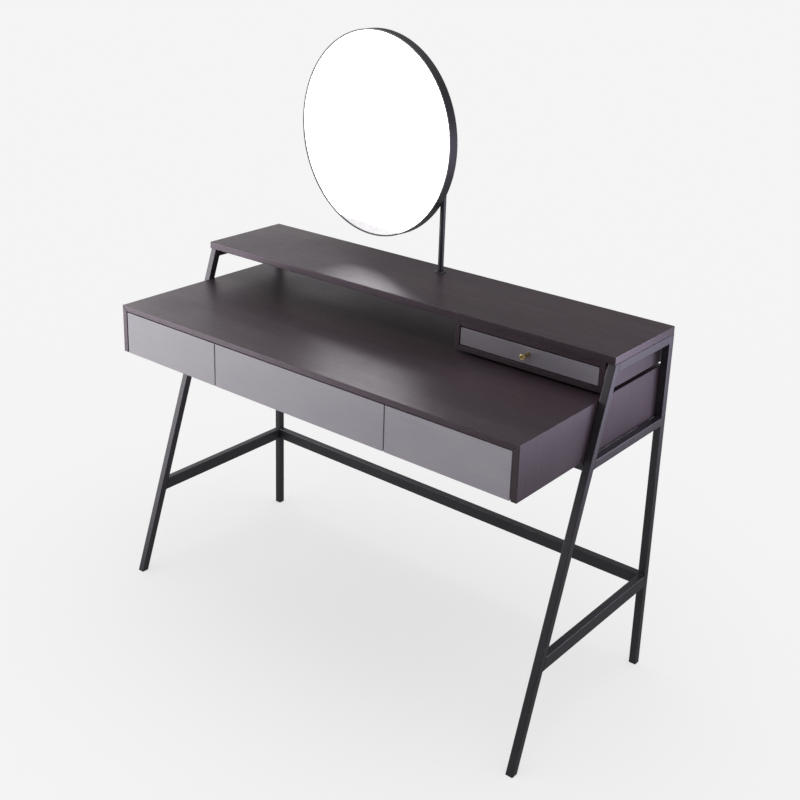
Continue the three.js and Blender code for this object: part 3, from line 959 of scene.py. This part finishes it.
def stage_piece(name, points, faces, shade, glow):
    """A matt part of the studio that glows, and that no reflection shows.

    So the gloss on the fronts and legs comes from the panels alone.
    """
    s = Shader(name, Roughness=STAGE_ROUGHNESS, Emission_Strength=glow)
    s.surface.inputs["Base Color"].default_value = (shade, shade, shade, 1)
    s.surface.inputs["Emission Color"].default_value = (1, 1, 1, 1)
    s.surface.inputs["Specular IOR Level"].default_value = 0
    s.material.cycles.emission_sampling = "NONE"
    mesh = bpy.data.meshes.new(name)
    mesh.from_pydata(points, [], faces)
    mesh.materials.append(s.material)
    made = bpy.data.objects.new(name, mesh)
    bpy.context.scene.collection.objects.link(made)
    made.visible_glossy = False
    return made


def stage_corners(z):
    return [(x * FLOOR_HALF, y * FLOOR_HALF, z) for x, y in ((-1, -1), (1, -1), (1, 1), (-1, 1))]


def floor():
    """A pale floor that stays even up to the horizon and still takes soft shadows."""
    return stage_piece("floor", stage_corners(0), [(0, 1, 2, 3)], FLOOR_SHADE, FLOOR_GLOW)


def backdrop():
    """Walls at the floor's edges, as pale as the floor far off, that light nothing."""
    points = stage_corners(0) + stage_corners(BACKDROP_HEIGHT)
    faces = [(i, (i + 1) % 4, (i + 1) % 4 + 4, i + 4) for i in range(4)]
    walls = stage_piece("backdrop", points, faces, 0, BACKDROP_GLOW)
    walls.visible_diffuse = False
    walls.visible_shadow = False


def studio_air():
    """Dim round the horizon and bright overhead."""
    world = bpy.data.worlds.new("studio")
    bpy.context.scene.world = world
    world.use_nodes = True
    tree = world.node_tree
    place = tree.nodes.new("ShaderNodeTexCoord")
    split = tree.nodes.new("ShaderNodeSeparateXYZ")
    ramp = tree.nodes.new("ShaderNodeValToRGB")
    background = next(n for n in tree.nodes if n.type == "BACKGROUND")
    tree.links.new(place.outputs["Generated"], split.inputs["Vector"])
    tree.links.new(split.outputs["Z"], ramp.inputs["Fac"])
    tree.links.new(ramp.outputs["Color"], background.inputs["Color"])
    background.inputs["Strength"].default_value = SKY_HIGH
    dim = SKY_LOW / SKY_HIGH
    for element, (position, level) in zip(ramp.color_ramp.elements, zip(SKY_RISE, (dim, 1.0))):
        element.position = position
        element.color = (level, level, level, 1)


def panel_light(name, size, radiance, unlit, tint=(1, 1, 1)):
    """A rectangular light that neither the camera nor the floor sees."""
    data = bpy.data.lights.new(name, "AREA")
    data.shape = "RECTANGLE"
    data.size, data.size_y = size
    data.energy = radiance * math.pi * data.size * data.size_y
    data.color = tint
    lamp = bpy.data.objects.new(name, data)
    lamp.visible_camera = False
    lamp.light_linking.receiver_collection = unlit
    bpy.context.scene.collection.objects.link(lamp)
    return lamp


def bounce_card(name, middle, size, radiance, unlit):
    """A card just over the floor that throws light up at the table."""
    lamp = panel_light(name, size, radiance, unlit)
    lamp.matrix_world = Matrix.Translation((*middle, CARD_RISE)) @ Matrix.Rotation(math.pi, 4, "X")


def softbox(name, ends, low_z, high_z, radiance, unlit, tint=(1, 1, 1)):
    """An upright panel over the line between its ends, facing the table."""
    start, end = (Vector((x, y, (low_z + high_z) / 2)) for x, y in ends)
    lamp = panel_light(name, ((end - start).length, high_z - low_z), radiance, unlit, tint)
    along = (end - start).normalized()
    up = Vector((0, 0, 1))
    back = along.cross(up)
    middle = (start + end) / 2
    if back.dot(middle) < 0:
        along, back = -along, -back
    lamp.matrix_world = Matrix.Translation(middle) @ Matrix((along, up, back)).transposed().to_4x4()
    return lamp


def lights(plane):
    """The key, left and right panels and the bounce cards; the floor takes light from none of them."""
    unlit = bpy.data.collections.new("not_lit_by_softboxes")
    unlit.objects.link(plane)
    unlit.collection_objects[0].light_linking.link_state = "EXCLUDE"
    for low_z, high_z, radiance in KEY_STACK:
        softbox("key", KEY_ENDS, low_z, high_z, radiance, unlit).visible_diffuse = False
    softbox("left_panel", *LEFT_PANEL, unlit)
    softbox("left_tail", *LEFT_TAIL, unlit)
    softbox("right_panel", *RIGHT_PANEL, unlit, tint=RIGHT_TINT).visible_diffuse = False
    for card in CARDS:
        bounce_card(*card, unlit)


def camera():
    """Looks along its azimuth and down by its elevation, and leans by its roll."""
    azimuth, elevation = math.radians(CAMERA_AZIMUTH), math.radians(CAMERA_ELEVATION)
    level = math.cos(elevation)
    forward = Vector((-math.sin(azimuth) * level, math.cos(azimuth) * level, -math.sin(elevation)))
    right = Vector((math.cos(azimuth), math.sin(azimuth), 0))
    right = Matrix.Rotation(math.radians(-CAMERA_ROLL), 3, forward) @ right
    up = right.cross(forward)
    data = bpy.data.cameras.new("camera")
    data.sensor_width = CAMERA_SENSOR
    data.lens = CAMERA_LENS
    data.shift_x, data.shift_y = CAMERA_SHIFT
    made = bpy.data.objects.new("camera", data)
    turn = Matrix((right, up, -forward)).transposed().to_4x4()
    made.matrix_world = Matrix.Translation(CAMERA_PLACE) @ turn
    bpy.context.scene.collection.objects.link(made)
    bpy.context.scene.camera = made


camera()
boards()
tray()
slides()
tubes()
welds()
knob()
mirror_place = mirror_frame()
mirror_head(mirror_place)
post()
mirror_weld(mirror_place)
flange()
nut()
studio_air()
backdrop()
lights(floor())
bpy.context.scene.view_settings.view_transform = "Standard"
